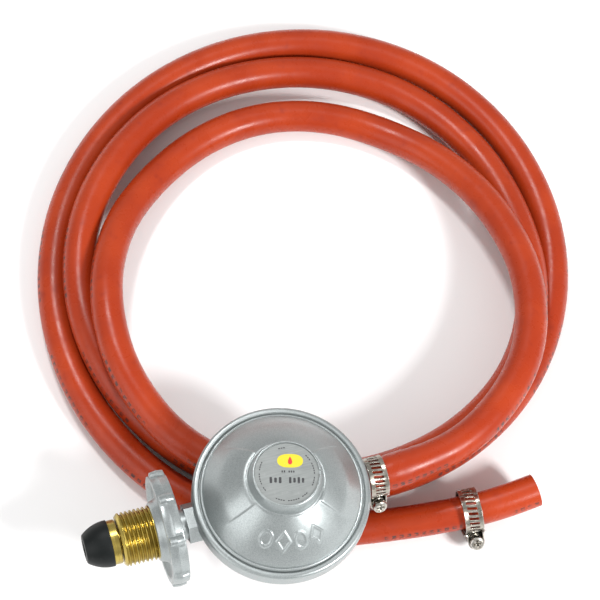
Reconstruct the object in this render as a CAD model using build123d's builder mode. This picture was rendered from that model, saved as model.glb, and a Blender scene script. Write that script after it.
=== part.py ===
"""Low-pressure gas regulator with a bullnose inlet, on a coil of gas hose."""
from build123d import *
from math import cos, pi, radians, sin, tan
import os

os.makedirs("parts", exist_ok=True)

# ---------------------------------------------------------------- driving dimensions, mm
# The origin is the front end of the inlet thread, on the axis that the inlet and the
# outlet share. +X runs from the inlet to the outlet and +Z up through the spring boss.
DISC_X = 69.5            # centre of the round casing
FLOOR_Z = -40.2          # surface that the hose lies on

RIM_R = 37.5             # outside of the casing
RIM_LOW_Z = 3.4          # underside of the rim
LIP_R = 34.7             # inner edge of the lip rolled over the cover
LIP_TOP_Z = 12.3
LIP_UNDER_Z = 11.2
SEAT_Z = 7.0             # ledge that the diaphragm lies on
BODY_LOW_Z = -11.0
BOWL_LOW_Z = -8.0

BOSS_R = 14.3            # spring boss at its top
BOSS_BASE_R = 15.2
BOSS_BASE_Z = 29.6
BOSS_TOP_Z = 36.5
BOSS_BORE_R = 11.0
LABEL_R = 13.3
LABEL_Z = 34.9
LABEL_THICK = 0.8

CRIMP_BORE_R = 36.05     # recess that takes the cover's flange
NECK_R = 6.4             # inlet neck of the casting
NECK_X = 24.9
NECK_END_X = 39.5
HEX_X = 28.4             # spanner hexagon on the neck
HEX_LENGTH = 6.0
HEX_HALF = 7.5
VALVE_BOSS_X = 39.0
VALVE_BOSS_END_X = 54.8
VALVE_BOSS_R = 5.5
OUTLET_BOSS_R = 6.6
OUTLET_BOSS_X = DISC_X + 24.0
GAS_WAY_R = 2.7
NOZZLE_R = 3.95
BARB_R = 4.5
SOCKET_END_X = 36.0      # bottom of the nipple's socket
NIPPLE_THREAD_R = 5.0
SHANK_R = 5.5
COLLAR_R = 9.35
COLLAR_X = -3.9
SPIGOT_R = 4.5
SPIGOT_X = -12.0

THREAD_R = 11.45         # 5/8 pipe thread, left hand
THREAD_LENGTH = 14.7
WHEEL_FRONT_X = 17.2
WHEEL_REAR_X = 24.4
WHEEL_R = 25.0
WHEEL_LOBES = 8
LOBE_HEIGHT = 1.6
LOBE_WIDTH = 4.0
HUB_R = 14.2
REAR_HUB_R = 13.0
DISH_R = 20.6            # outside of the dished faces
LOBE_TURN = 15.0         # first lobe, degrees from +Z towards +Y
SLEEVE_TAIL_R = 10.4     # part of the sleeve pressed into the hub
SLEEVE_END_X = 22.4
RUNNING = 0.05           # radial clearance of a running fit

PIN_X = 52.5             # lever pivot
PIN_Z = -5.4
PIN_R = 0.8
PIN_LENGTH = 11.0
LEVER_SLOT = 4.4         # slot in the casting that the lever swings in
LEVER_WIDTH = 3.0
LEVER_EYE_R = 1.6
GUIDE_R = 3.45           # bore that the valve slider runs in
JET_TIP_X = 49.5
VALVE_GAP = 0.5
ARM_Z = 5.0              # lever arm, middle of its thickness
STEM_R = 3.0

SPRING_R = 8.0
SPRING_WIRE_R = 0.8
SPRING_LOW_Z = 9.9
SPRING_PITCH = 2.7
SPRING_TURNS = 6

HOSE_OD = 14.5
HOSE_BORE = 8.0
HOSE_R = HOSE_OD / 2
MOUTH_BEVEL = 0.3        # at the bore of the cut end
HOSE_START_X = DISC_X + 37.8
HOSE_BENDS_X = DISC_X + 48.0
NOZZLE_END_X = DISC_X + 55.0
STRETCHED_R = 7.95       # hose pushed over the nozzle

BAND_WIDTH = 8.0
BAND_THICK = 0.7
WORM_R = 2.9
WORM_OUT = 3.25          # middle of the screw, outside the band
HOUSING_HALF = 4.5
BAND_SLOTS = 19
FIRST_SLOT = 53.0        # degrees from the housing
SLOT_SPREAD = 254.0

# ---------------------------------------------------------------- working planes and axes
DISC_SECTION = Plane(origin=(DISC_X, 0, 0), x_dir=(1, 0, 0), z_dir=(0, -1, 0))
DISC_AXIS = Axis((DISC_X, 0, 0), (0, 0, 1))
AXIS_SECTION = Plane.XZ


def across(x):
    """Plane square to the inlet axis, its normal towards the outlet."""
    return Plane(origin=(x, 0, 0), x_dir=(0, 1, 0), z_dir=(1, 0, 0))


def save(builder, label):
    """Label a finished piece and write it."""
    builder.part.label = label
    export_step(builder.part, f"parts/{label}.step")


# ---------------------------------------------------------------- casing
with BuildPart() as lower_body:
    with BuildSketch(DISC_SECTION):
        with BuildLine():
            floor = Line((0, BODY_LOW_Z), (14, BODY_LOW_Z))
            belly = ThreePointArc(floor @ 1, (26.2, -5.8), (32.6, RIM_LOW_Z))
            rim = Polyline(belly @ 1, (36.7, RIM_LOW_Z), (RIM_R, 4.2), (RIM_R, 10.7))
            lip = ThreePointArc(rim @ 1, (37.05, 11.9), (36.0, LIP_TOP_Z))
            Polyline(lip @ 1, (35.2, LIP_TOP_Z), (LIP_R, 11.8), (LIP_R, LIP_UNDER_Z),
                     (0, LIP_UNDER_Z), (0, BODY_LOW_Z))
        make_face()
    revolve(axis=DISC_AXIS)
    # inlet neck with its spanner hexagon, and the outlet boss
    with BuildSketch(across(NECK_X)):
        Circle(NECK_R)
    extrude(amount=NECK_END_X - NECK_X)
    with BuildSketch(across(HEX_X)):
        RegularPolygon(radius=HEX_HALF, side_count=6, major_radius=False)
    extrude(amount=HEX_LENGTH)
    with BuildSketch(across(OUTLET_BOSS_X)):
        Circle(OUTLET_BOSS_R)
    extrude(amount=HOSE_START_X - OUTLET_BOSS_X)
    # bowl under the diaphragm, and the recess that takes the cover's flange
    with BuildSketch(DISC_SECTION):
        with BuildLine():
            Line((0, BOWL_LOW_Z), (12.5, BOWL_LOW_Z))
            bowl = ThreePointArc((12.5, BOWL_LOW_Z), (23.6, -3.4), (29.4, 5.2))
            Polyline(bowl @ 1, (31, SEAT_Z), (CRIMP_BORE_R, SEAT_Z), (CRIMP_BORE_R, LIP_UNDER_Z),
                     (0, LIP_UNDER_Z), (0, BOWL_LOW_Z))
        make_face()
    revolve(axis=DISC_AXIS, mode=Mode.SUBTRACT)
    # valve boss across the bowl, on the block that carries the lever pin
    with BuildSketch(across(VALVE_BOSS_X)):
        Circle(VALVE_BOSS_R)
    extrude(amount=VALVE_BOSS_END_X - VALVE_BOSS_X)
    with BuildSketch(Plane.XY.offset(-9.0)):
        with Locations((PIN_X, 0)):
            Rectangle(6.0, 11.0)
    extrude(amount=6.0)
    with BuildSketch(Plane.XY.offset(0.0)):
        with Locations((53.6, 0)):
            Rectangle(6.4, LEVER_SLOT)
    extrude(amount=6.5, mode=Mode.SUBTRACT)
    with BuildSketch(Plane.XY.offset(0.0)):
        with Locations((52.2, 0)):
            Rectangle(4.4, LEVER_SLOT)
    extrude(amount=-7.4, mode=Mode.SUBTRACT)
    with Locations(Location((PIN_X, 0, PIN_Z), (90, 0, 0))):
        Cylinder(PIN_R, 14, mode=Mode.SUBTRACT)
    # nipple socket, gas way, jet seat and slider guide, in one line
    with BuildSketch(AXIS_SECTION):
        with BuildLine():
            Polyline((NECK_X - 1, 0), (NECK_X - 1, NIPPLE_THREAD_R), (SOCKET_END_X, NIPPLE_THREAD_R),
                     (SOCKET_END_X, 2.0), (45.0, 2.0), (45.0, 3.0), (48.5, 3.0), (48.5, GUIDE_R),
                     (56.0, GUIDE_R), (56.0, 0), (NECK_X - 1, 0))
        make_face()
    revolve(axis=Axis.X, mode=Mode.SUBTRACT)
    # barbed hose nozzle
    with BuildSketch(AXIS_SECTION):
        with BuildLine():
            barb = [(HOSE_START_X - 2, 0), (HOSE_START_X - 2, NOZZLE_R)]
            for crest_x in (HOSE_START_X + 6, HOSE_START_X + 11, HOSE_START_X + 16):
                barb += [(crest_x - 0.6, NOZZLE_R), (crest_x, BARB_R)]
                barb += [(crest_x + 0.4, BARB_R), (crest_x + 1.0, NOZZLE_R)]
            barb += [(NOZZLE_END_X - 0.4, NOZZLE_R), (NOZZLE_END_X, 3.6), (NOZZLE_END_X, 0)]
            Polyline(barb, close=True)
        make_face()
    revolve(axis=Axis.X)
    with BuildSketch(across(DISC_X + 18)):
        Circle(GAS_WAY_R)
    extrude(amount=NOZZLE_END_X - DISC_X, mode=Mode.SUBTRACT)
save(lower_body, "lower_body")

with BuildPart() as top_cover:
    with BuildSketch(DISC_SECTION):
        with BuildLine():
            flange = Polyline((30.8, 8.05), (35.9, 8.05), (35.9, LIP_UNDER_Z - 0.1),
                              (34.4, LIP_UNDER_Z - 0.1), (34.4, 11.9))
            edge = ThreePointArc(flange @ 1, (34.1, 12.5), (33.5, 12.9))
            dome = ThreePointArc(edge @ 1, (25.3, 22.2), (16.4, 28.9))
            root = ThreePointArc(dome @ 1, (15.55, 29.2), (BOSS_BASE_R, BOSS_BASE_Z + 0.4))
            boss = Polyline(root @ 1, (BOSS_R, BOSS_TOP_Z - 0.4), (BOSS_R - 0.4, BOSS_TOP_Z),
                            (12.9, BOSS_TOP_Z), (12.9, LABEL_Z + LABEL_THICK + 0.05),
                            (LABEL_R + 0.1, LABEL_Z + LABEL_THICK + 0.05), (LABEL_R + 0.1, LABEL_Z),
                            (BOSS_BORE_R, LABEL_Z), (BOSS_BORE_R, 25.8), (14.2, 25.8))
            inside = ThreePointArc(boss @ 1, (23.2, 19.9), (30.0, 12.2))
            Polyline(inside @ 1, (30.8, 10.6), (30.8, 8.05))
        make_face()
    revolve(axis=DISC_AXIS)
    # breather slot through the boss's rolled edge
    with Locations((DISC_X + 13.6, -2.6, BOSS_TOP_Z)):
        Box(2.4, 1.6, 1.2, mode=Mode.SUBTRACT)
save(top_cover, "top_cover")

with BuildPart() as label_plate:
    with BuildSketch(Plane(origin=(DISC_X, 0, LABEL_Z))):
        Circle(LABEL_R)
    extrude(amount=LABEL_THICK)
save(label_plate, "label_plate")

# ---------------------------------------------------------------- diaphragm and spring
with BuildPart() as diaphragm:
    with BuildSketch(DISC_SECTION):
        with BuildLine():
            Polyline((2.1, SEAT_Z), (20.0, SEAT_Z))
            fold = ThreePointArc((20.0, SEAT_Z), (24.6, SEAT_Z + 2.2), (29.2, SEAT_Z))
            Polyline(fold @ 1, (35.9, SEAT_Z), (35.9, SEAT_Z + 1.0), (29.6, SEAT_Z + 1.0))
            ThreePointArc((29.6, SEAT_Z + 1.0), (24.6, SEAT_Z + 3.2), (19.6, SEAT_Z + 1.0))
            Polyline((19.6, SEAT_Z + 1.0), (2.1, SEAT_Z + 1.0), (2.1, SEAT_Z))
        make_face()
    revolve(axis=DISC_AXIS)
save(diaphragm, "diaphragm")

with BuildPart() as diaphragm_plate:
    with BuildSketch(DISC_SECTION):
        with BuildLine():
            Polyline((2.05, SEAT_Z + 1.0), (18.5, SEAT_Z + 1.0), (19.5, SEAT_Z + 2.4),
                     (18.7, SEAT_Z + 2.4), (17.9, SEAT_Z + 2.0), (2.05, SEAT_Z + 2.0), close=True)
        make_face()
    revolve(axis=DISC_AXIS)
save(diaphragm_plate, "diaphragm_plate")

with BuildPart() as diaphragm_stem:
    with BuildSketch(DISC_SECTION):
        with BuildLine():
            Polyline((0, 2.6), (STEM_R, 2.6), (STEM_R, 6.3), (6.0, 6.3), (6.0, SEAT_Z),
                     (2.0, SEAT_Z), (2.0, 12.2), (0, 12.2), close=True)
        make_face()
    revolve(axis=DISC_AXIS)
    with Locations((DISC_X - 0.8, 0, ARM_Z)):
        Box(6.0, 4.0, 2.2, mode=Mode.SUBTRACT)
save(diaphragm_stem, "diaphragm_stem")

with BuildPart() as stem_nut:
    with BuildSketch(Plane(origin=(DISC_X, 0, SEAT_Z + 2.0))):
        RegularPolygon(radius=3.5, side_count=6, major_radius=False)
        Circle(2.0, mode=Mode.SUBTRACT)
    extrude(amount=2.4)
save(stem_nut, "stem_nut")

with BuildPart() as main_spring:
    with BuildLine() as coil_line:
        Helix(pitch=SPRING_PITCH, height=SPRING_PITCH * SPRING_TURNS, radius=SPRING_R,
              center=(DISC_X, 0, SPRING_LOW_Z))
    with BuildSketch(Plane(coil_line.line @ 0, z_dir=coil_line.line % 0)):
        Circle(SPRING_WIRE_R)
    sweep()
save(main_spring, "main_spring")

with BuildPart() as adjusting_screw:
    with BuildSketch(Plane(origin=(DISC_X, 0, 27.0))):
        Circle(BOSS_BORE_R - RUNNING)
        RegularPolygon(radius=4.0, side_count=6, major_radius=False, mode=Mode.SUBTRACT)
    extrude(amount=5.0)
save(adjusting_screw, "adjusting_screw")

# ---------------------------------------------------------------- valve
with BuildPart() as inlet_jet:
    with BuildSketch(AXIS_SECTION):
        with BuildLine():
            Polyline((45.0, 0.6), (45.0, 3.0), (48.5, 3.0), (48.5, 1.7), (JET_TIP_X, 1.3),
                     (JET_TIP_X, 0.6), close=True)
        make_face()
    revolve(axis=Axis.X)
save(inlet_jet, "inlet_jet")

with BuildPart() as valve_pad:
    with BuildSketch(across(JET_TIP_X + VALVE_GAP)):
        Circle(2.4)
    extrude(amount=0.9)
save(valve_pad, "valve_pad")

with BuildPart() as valve_slider:
    with BuildSketch(across(JET_TIP_X + VALVE_GAP + 0.3)):
        Circle(GUIDE_R - RUNNING)
    extrude(amount=5.2)
    with BuildSketch(across(JET_TIP_X + VALVE_GAP)):
        Circle(2.4)
    extrude(amount=0.9, mode=Mode.SUBTRACT)
    with Locations((PIN_X, 0, 0)):
        Box(2.2, 3.8, 9.0, mode=Mode.SUBTRACT)
save(valve_slider, "valve_slider")

with BuildPart() as lever:
    with BuildSketch(AXIS_SECTION):
        with Locations((PIN_X, (ARM_Z + PIN_Z) / 2)):
            Rectangle(1.2, ARM_Z - PIN_Z)
        with Locations((PIN_X, PIN_Z)):
            Circle(LEVER_EYE_R)
            Circle(PIN_R + RUNNING, mode=Mode.SUBTRACT)
        with Locations(((PIN_X - 0.6 + DISC_X + 1.5) / 2, ARM_Z)):
            Rectangle(DISC_X + 2.1 - PIN_X, 1.4)
    extrude(amount=LEVER_WIDTH / 2, both=True)
save(lever, "lever")

with BuildPart() as lever_pin:
    with Locations(Location((PIN_X, 0, PIN_Z), (90, 0, 0))):
        Cylinder(PIN_R, PIN_LENGTH)
save(lever_pin, "lever_pin")

# ---------------------------------------------------------------- inlet
with BuildPart() as inlet_nipple:
    with BuildSketch(AXIS_SECTION):
        with BuildLine():
            Polyline((SPIGOT_X, 3.2), (SPIGOT_X, SPIGOT_R), (COLLAR_X, SPIGOT_R),
                     (COLLAR_X, COLLAR_R), (-0.9, COLLAR_R), (-0.6, COLLAR_R - 0.3),
                     (-0.6, SHANK_R), (NECK_X - 0.8, SHANK_R), (NECK_X - 0.8, NIPPLE_THREAD_R),
                     (SOCKET_END_X, NIPPLE_THREAD_R), (SOCKET_END_X, 2.2), (-9.4, 2.2),
                     (-9.4, 3.2), close=True)
        make_face()
    revolve(axis=Axis.X)
save(inlet_nipple, "inlet_nipple")

with BuildPart() as inlet_filter:
    with BuildSketch(across(-11.6)):
        Circle(3.2)
    extrude(amount=2.2)
save(inlet_filter, "inlet_filter")

with BuildPart() as seal_washer:
    with BuildSketch(across(NECK_X - 0.8)):
        Circle(NECK_R)
        Circle(NIPPLE_THREAD_R, mode=Mode.SUBTRACT)
    extrude(amount=0.8)
save(seal_washer, "seal_washer")

with BuildPart() as nose_seal:
    with BuildSketch(AXIS_SECTION):
        with BuildLine():
            base = Polyline((SPIGOT_X, SPIGOT_R), (COLLAR_X, SPIGOT_R), (COLLAR_X, 9.8), (-5.2, 9.8))
            side = ThreePointArc(base @ 1, (-10.2, 8.75), (-14.2, 6.5))
            tip = ThreePointArc(side @ 1, (-14.8, 5.9), (-14.95, 5.2))
            Polyline(tip @ 1, (-14.95, 3.2), (SPIGOT_X, 3.2), (SPIGOT_X, SPIGOT_R))
        make_face()
    revolve(axis=Axis.X)
save(nose_seal, "nose_seal")

with BuildPart() as handwheel:
    with BuildSketch(across(WHEEL_FRONT_X)):
        Circle(WHEEL_R - LOBE_HEIGHT)
        with PolarLocations(WHEEL_R - 3.0, WHEEL_LOBES, start_angle=90 - LOBE_TURN):
            RectangleRounded(6.0, LOBE_WIDTH, 1.9)
    extrude(amount=WHEEL_REAR_X - WHEEL_FRONT_X)
    with BuildSketch(AXIS_SECTION):
        with BuildLine():
            Polyline((WHEEL_FRONT_X, 0), (WHEEL_FRONT_X, WHEEL_R - 0.7), (WHEEL_FRONT_X + 0.7, WHEEL_R),
                     (WHEEL_REAR_X - 0.7, WHEEL_R), (WHEEL_REAR_X, WHEEL_R - 0.7), (WHEEL_REAR_X, 0),
                     close=True)
        make_face()
    revolve(axis=Axis.X, mode=Mode.INTERSECT)
    # dished faces each side of the web, and the tapered hub in front
    with BuildSketch(AXIS_SECTION):
        with BuildLine():
            Polyline((WHEEL_FRONT_X - 1, 13.2), (WHEEL_FRONT_X - 1, DISH_R), (WHEEL_FRONT_X, DISH_R),
                     (WHEEL_FRONT_X + 2, DISH_R - 1), (WHEEL_FRONT_X + 2, 13.2), close=True)
        make_face()
        with BuildLine():
            Polyline((WHEEL_REAR_X + 1, REAR_HUB_R), (WHEEL_REAR_X + 1, DISH_R), (WHEEL_REAR_X, DISH_R),
                     (WHEEL_REAR_X - 2, DISH_R - 1), (WHEEL_REAR_X - 2, REAR_HUB_R), close=True)
        make_face()
    revolve(axis=Axis.X, mode=Mode.SUBTRACT)
    with BuildSketch(AXIS_SECTION):
        with BuildLine():
            Polyline((THREAD_LENGTH, 0), (THREAD_LENGTH, 12.0), (THREAD_LENGTH + 0.6, 12.6),
                     (WHEEL_FRONT_X + 2.4, HUB_R), (WHEEL_REAR_X - 3, HUB_R), (WHEEL_REAR_X - 3, 0),
                     close=True)
        make_face()
    revolve(axis=Axis.X)
    with BuildSketch(across(THREAD_LENGTH - 1)):
        Circle(SLEEVE_TAIL_R)
    extrude(amount=SLEEVE_END_X - THREAD_LENGTH + 1, mode=Mode.SUBTRACT)
    with BuildSketch(across(22.0)):
        Circle(NECK_R + 0.6)
    extrude(amount=4.0, mode=Mode.SUBTRACT)
save(handwheel, "handwheel")

with BuildPart() as thread_sleeve:
    with BuildSketch(AXIS_SECTION):
        with BuildLine():
            Polyline((0, SHANK_R + RUNNING), (0, THREAD_R), (THREAD_LENGTH, THREAD_R),
                     (THREAD_LENGTH, SLEEVE_TAIL_R), (SLEEVE_END_X, SLEEVE_TAIL_R),
                     (SLEEVE_END_X, SHANK_R + RUNNING), close=True)
        make_face()
    revolve(axis=Axis.X)
save(thread_sleeve, "thread_sleeve")


# ---------------------------------------------------------------- hose clamps
def clamp_frame(centre, heading, climb, housing_angle):
    """Frame of a clamp: normal along the hose, first axis towards the screw housing.

    The hose heads off X by heading degrees and climbs by climb degrees, and the housing
    stands housing_angle degrees below the level line on the -Y side."""
    h = radians(heading)
    c = radians(climb)
    turn = radians(housing_angle)
    level = Vector(sin(h), -cos(h), 0)
    down = Vector(cos(h) * sin(c), sin(h) * sin(c), -cos(c))
    along = Vector(cos(h) * cos(c), sin(h) * cos(c), sin(c))
    return Plane(origin=centre, x_dir=level * cos(turn) + down * sin(turn), z_dir=along)


def clamp_piece_plane(frame, x, y, z, normal, first):
    """Plane at a place in a clamp's frame, with its normal and first axis given there."""
    origin = frame.from_local_coords(Vector(x, y, z))
    lift = frame.from_local_coords(Vector(0, 0, 0))
    return Plane(origin=origin, x_dir=frame.from_local_coords(Vector(*first)) - lift,
                 z_dir=frame.from_local_coords(Vector(*normal)) - lift)


def make_clamp(name, frame, inner_r):
    """Worm-drive clamp: slotted band, pressed screw housing and cross-recess screw."""
    outer_r = inner_r + BAND_THICK
    worm_x = outer_r + WORM_OUT
    half_width = BAND_WIDTH / 2
    half_length = HOUSING_HALF
    with BuildPart() as band:
        with BuildSketch(frame.offset(-half_width)):
            Circle(outer_r)
            Circle(inner_r, mode=Mode.SUBTRACT)
        extrude(amount=BAND_WIDTH)
        for step in range(BAND_SLOTS):
            turn = radians(FIRST_SLOT + step * SLOT_SPREAD / (BAND_SLOTS - 1))
            spot = frame.from_local_coords(Vector(outer_r * cos(turn), outer_r * sin(turn), 0))
            outward = spot - frame.origin
            with Locations(Plane(origin=spot, x_dir=frame.z_dir, z_dir=outward)):
                Box(4.4, 1.15, 2.4, mode=Mode.SUBTRACT)
    save(band, f"{name}_band")

    end_plane = clamp_piece_plane(frame, 0, -half_length, 0, (0, 1, 0), (1, 0, 0))
    bore_plane = clamp_piece_plane(frame, worm_x, -half_length - 1, 0, (0, 1, 0), (1, 0, 0))
    with BuildPart() as housing:
        with BuildSketch(end_plane):
            with Locations((worm_x, 0)):
                Circle(WORM_R + 0.75)
            with Locations(((worm_x + outer_r - 1.4) / 2, 0)):
                Rectangle(worm_x - outer_r + 1.4, 2 * WORM_R + 1.5)
            with Locations((outer_r - 0.2, 0)):
                Rectangle(2.0, BAND_WIDTH + 1.6)
        extrude(amount=2 * half_length)
        with BuildSketch(frame.offset(-half_width - 2)):
            Circle(outer_r)
        extrude(amount=BAND_WIDTH + 4, mode=Mode.SUBTRACT)
        with BuildSketch(bore_plane):
            Circle(WORM_R + RUNNING)
        extrude(amount=2 * half_length + 2, mode=Mode.SUBTRACT)
    save(housing, f"{name}_housing")

    shank_plane = clamp_piece_plane(frame, worm_x, -half_length - 0.2, 0, (0, 1, 0), (1, 0, 0))
    head_plane = clamp_piece_plane(frame, worm_x, -half_length - 2.9, 0, (0, 1, 0), (1, 0, 0))
    with BuildPart() as screw:
        with BuildSketch(shank_plane):
            Circle(WORM_R)
        extrude(amount=2 * half_length + 0.9)
        with BuildSketch(head_plane):
            Circle(3.2)
        extrude(amount=2.7)
        with BuildSketch(head_plane):
            Rectangle(3.9, 0.8)
            Rectangle(0.8, 3.9)
        extrude(amount=1.2, mode=Mode.SUBTRACT)
    save(screw, f"{name}_screw")


OUTLET_CLAMP = clamp_frame((DISC_X + 42.3, 0, 0), 0, 0, 62)
make_clamp("outlet_clamp", OUTLET_CLAMP, STRETCHED_R + 0.02)

# ---------------------------------------------------------------- hose
# The hose lies in three loose turns. Each row is one turn, and its eight values are the
# distance from the coil's centre, then the height of the hose's middle over the floor,
# every 45 degrees from the outlet's side.
COIL_X = DISC_X + 47.0
COIL_Y = 113.7
LOW = HOSE_R
TURN_RADII = [
    [114.0, 109.0, 88.2, 78.2, 76.6, 78.8, 92.6, 107.8],
    [106.0, 107.0, 100.6, 101.0, 98.2, 98.3, 103.2, 105.3],
    [107.0, 112.3, 116.2, 117.3, 113.2, 110.8, 114.4, 122.0],
    [126.5, 131.0],
]
TURN_HEIGHTS = [
    [40.2, 37.2, 23.8, LOW, LOW, 11.0, 28.6, 24.6],
    [21.8, 21.8, 12.6, 7.6, 9.7, 15.5, 17.8, 8.0],
    [LOW, LOW, LOW, LOW, LOW, LOW, LOW, LOW],
    [LOW, LOW],
]
STEPS_PER_TURN = 16
OUTWARD = 1 / cos(radians(180 / STEPS_PER_TURN))   # corners stand outside the line
# free end, chosen by hand: place along X from the casing's centre, Y, height of the middle
TAIL = [
    (30.0, -10.8, LOW),
    (50.0, -13.8, 8.4),
    (67.0, -16.3, 10.8),
    (83.0, -17.9, 13.4),
    (99.0, -18.4, 15.5),
    (114.2, -17.0, 17.0),
]


def eased(rows):
    """Stations with a value between each two, on a smooth curve through them."""
    flat = [value for row in rows for value in row]
    values = []
    for i in range(1, len(flat) - 2):
        between = (9 * (flat[i] + flat[i + 1]) - flat[i - 1] - flat[i + 2]) / 16
        values += [flat[i], between]
    first_between = (3 * flat[0] + 6 * flat[1] - flat[2]) / 8
    return [flat[0], first_between] + values


def coil_points():
    """Corners of the hose's route round the coil, from its second station."""
    points = []
    for k, (radius, height) in enumerate(zip(eased(TURN_RADII), eased(TURN_HEIGHTS))):
        angle = radians(-90 + k * 360 / STEPS_PER_TURN)
        x = COIL_X + radius * OUTWARD * cos(angle)
        y = COIL_Y + radius * OUTWARD * sin(angle)
        points.append(Vector(x, y, FLOOR_Z + max(height, LOW)))
    return points[1:]


tail_points = [Vector(DISC_X + x, y, FLOOR_Z + height) for x, y, height in TAIL]
route = [Vector(HOSE_START_X, 0, 0), Vector(DISC_X + 58.0, 0, 0)] + coil_points() + tail_points


def corner_radius(i):
    """Largest radius that the two runs beside a corner leave room for."""
    before = route[i] - route[i - 1]
    after = route[i + 1] - route[i]
    shorter = min(before.length, after.length)
    return 0.45 * shorter / tan(radians(before.get_angle(after) / 2))


corner_radii = [corner_radius(i) for i in range(1, len(route) - 1)]


def hose_stretch(label, first, last, start=None, end=None, bevel=0.0):
    """Tube round the corners first to last of the route, cut half way along its end runs."""
    start = start or (route[first - 1] + route[first]) * 0.5
    end = end or (route[last] + route[last + 1]) * 0.5
    corners = route[first:last + 1]
    with BuildPart() as tube:
        with BuildLine() as path:
            FilletPolyline(start, *corners, end, radius=corner_radii[first - 1:last])
        line = path.wires()[0]
        with BuildSketch(Plane(line @ 0, z_dir=line % 0)):
            Circle(HOSE_R)
            Circle(HOSE_BORE / 2, mode=Mode.SUBTRACT)
        sweep()
        if bevel:
            outside = (line @ 1) + (line % 1) * bevel
            with BuildSketch(Plane(outside, z_dir=-(line % 1))):
                Circle(HOSE_BORE / 2 + 2 * bevel)
            extrude(amount=2 * bevel, taper=45, mode=Mode.SUBTRACT)
    save(tube, label)
    length = line.length
    section = pi * (HOSE_R ** 2 - (HOSE_BORE / 2) ** 2)
    print(f"{label}: length {length:.1f}, volume / (section x length) "
          f"{tube.part.volume / (section * length):.4f}")
    return length


with BuildPart() as hose_end:
    with BuildSketch(AXIS_SECTION):
        with BuildLine():
            swollen = Line((HOSE_START_X, HOSE_BORE / 2), (HOSE_START_X, STRETCHED_R))
            grip = Line(swollen @ 1, (HOSE_START_X + 8.6, STRETCHED_R))
            Polyline(grip @ 1, (HOSE_BENDS_X, HOSE_R), (HOSE_BENDS_X, HOSE_BORE / 2),
                     (HOSE_START_X, HOSE_BORE / 2))
        make_face()
    revolve(axis=Axis.X)
save(hose_end, "hose_end")

hose_length = HOSE_BENDS_X - HOSE_START_X
last_corner = len(route) - 2
turn_ends = [STEPS_PER_TURN, 2 * STEPS_PER_TURN, 3 * STEPS_PER_TURN - 2]
hose_length += hose_stretch("hose_turn_1", 1, turn_ends[0], start=Vector(HOSE_BENDS_X, 0, 0))
hose_length += hose_stretch("hose_turn_2", turn_ends[0] + 1, turn_ends[1])
hose_length += hose_stretch("hose_turn_3", turn_ends[1] + 1, turn_ends[2])
hose_length += hose_stretch("hose_tail", turn_ends[2] + 1, last_corner, end=route[-1], bevel=MOUTH_BEVEL)
print(f"hose length {hose_length:.0f}")
print("corner radii", [round(value) for value in corner_radii])

LOOSE_CLAMP = clamp_frame((DISC_X + 83.8, -18.0, FLOOR_Z + 14.6), -3.5, 6.0, 40)
make_clamp("loose_clamp", LOOSE_CLAMP, 9.1)
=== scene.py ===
"""Looks of the gas regulator and its hose, round the frame that the CAD model gives."""
from math import atan2, cos, hypot, pi, radians, sin, sqrt, tau

import bmesh
import bpy
from mathutils import Matrix, Vector


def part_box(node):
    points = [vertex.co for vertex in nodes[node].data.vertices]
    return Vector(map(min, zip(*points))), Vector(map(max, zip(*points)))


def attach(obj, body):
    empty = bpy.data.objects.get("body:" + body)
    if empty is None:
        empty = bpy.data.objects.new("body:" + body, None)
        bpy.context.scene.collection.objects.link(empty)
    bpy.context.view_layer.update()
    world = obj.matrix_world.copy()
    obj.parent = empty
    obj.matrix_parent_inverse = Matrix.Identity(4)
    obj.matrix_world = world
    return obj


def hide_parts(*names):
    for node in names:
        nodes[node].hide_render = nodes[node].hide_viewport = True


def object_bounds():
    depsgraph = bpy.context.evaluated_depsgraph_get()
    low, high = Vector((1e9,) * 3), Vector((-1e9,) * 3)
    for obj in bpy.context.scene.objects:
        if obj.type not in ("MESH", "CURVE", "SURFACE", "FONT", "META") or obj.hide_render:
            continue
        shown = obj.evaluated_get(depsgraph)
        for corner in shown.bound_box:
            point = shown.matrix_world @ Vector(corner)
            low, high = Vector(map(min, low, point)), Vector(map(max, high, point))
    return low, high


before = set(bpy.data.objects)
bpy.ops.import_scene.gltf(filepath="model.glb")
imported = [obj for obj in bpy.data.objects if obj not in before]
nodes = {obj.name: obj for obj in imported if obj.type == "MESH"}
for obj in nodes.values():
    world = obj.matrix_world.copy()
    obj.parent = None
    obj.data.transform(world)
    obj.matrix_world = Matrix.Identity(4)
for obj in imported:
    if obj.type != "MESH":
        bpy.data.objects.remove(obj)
cad_low, cad_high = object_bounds()

# All sizes below are in millimetres, in the frame of the CAD model, and MM takes them to metres.
MM = 0.001
cover_low, cover_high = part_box("top_cover")
DISC_X = (cover_low.x + cover_high.x) / 2 / MM
FLOOR_Z = cad_low.z / MM


def point(x, y, z):
    return Vector((x, y, z)) * MM


# ------------------------------------------------------------------ camera, floor and light
VIEW_TILT = 23.211       # degrees from straight down
VIEW_HEADING = 28.933
VIEW_ROLL = 13.781
VIEW_DISTANCE = 1.05
VIEW_TARGET = point(DISC_X + 42.4, 100.9, FLOOR_Z)
LENS = 138.15
# each light: name, place along the camera's right, up and backward axes, size and power
LIGHTS = [
    ("key", 0.75, -0.25, 0.9, 0.24, 13),
    ("fill", -0.9, -0.3, 0.9, 0.9, 5),
    ("rim_glint", -0.15, 0.8, 0.9, 0.16, 6),
]
WORLD_STRENGTH = 0.55
FLOOR_SIZE = 8
FLOOR_MIDDLE = (0.1, 0.1)


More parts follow.
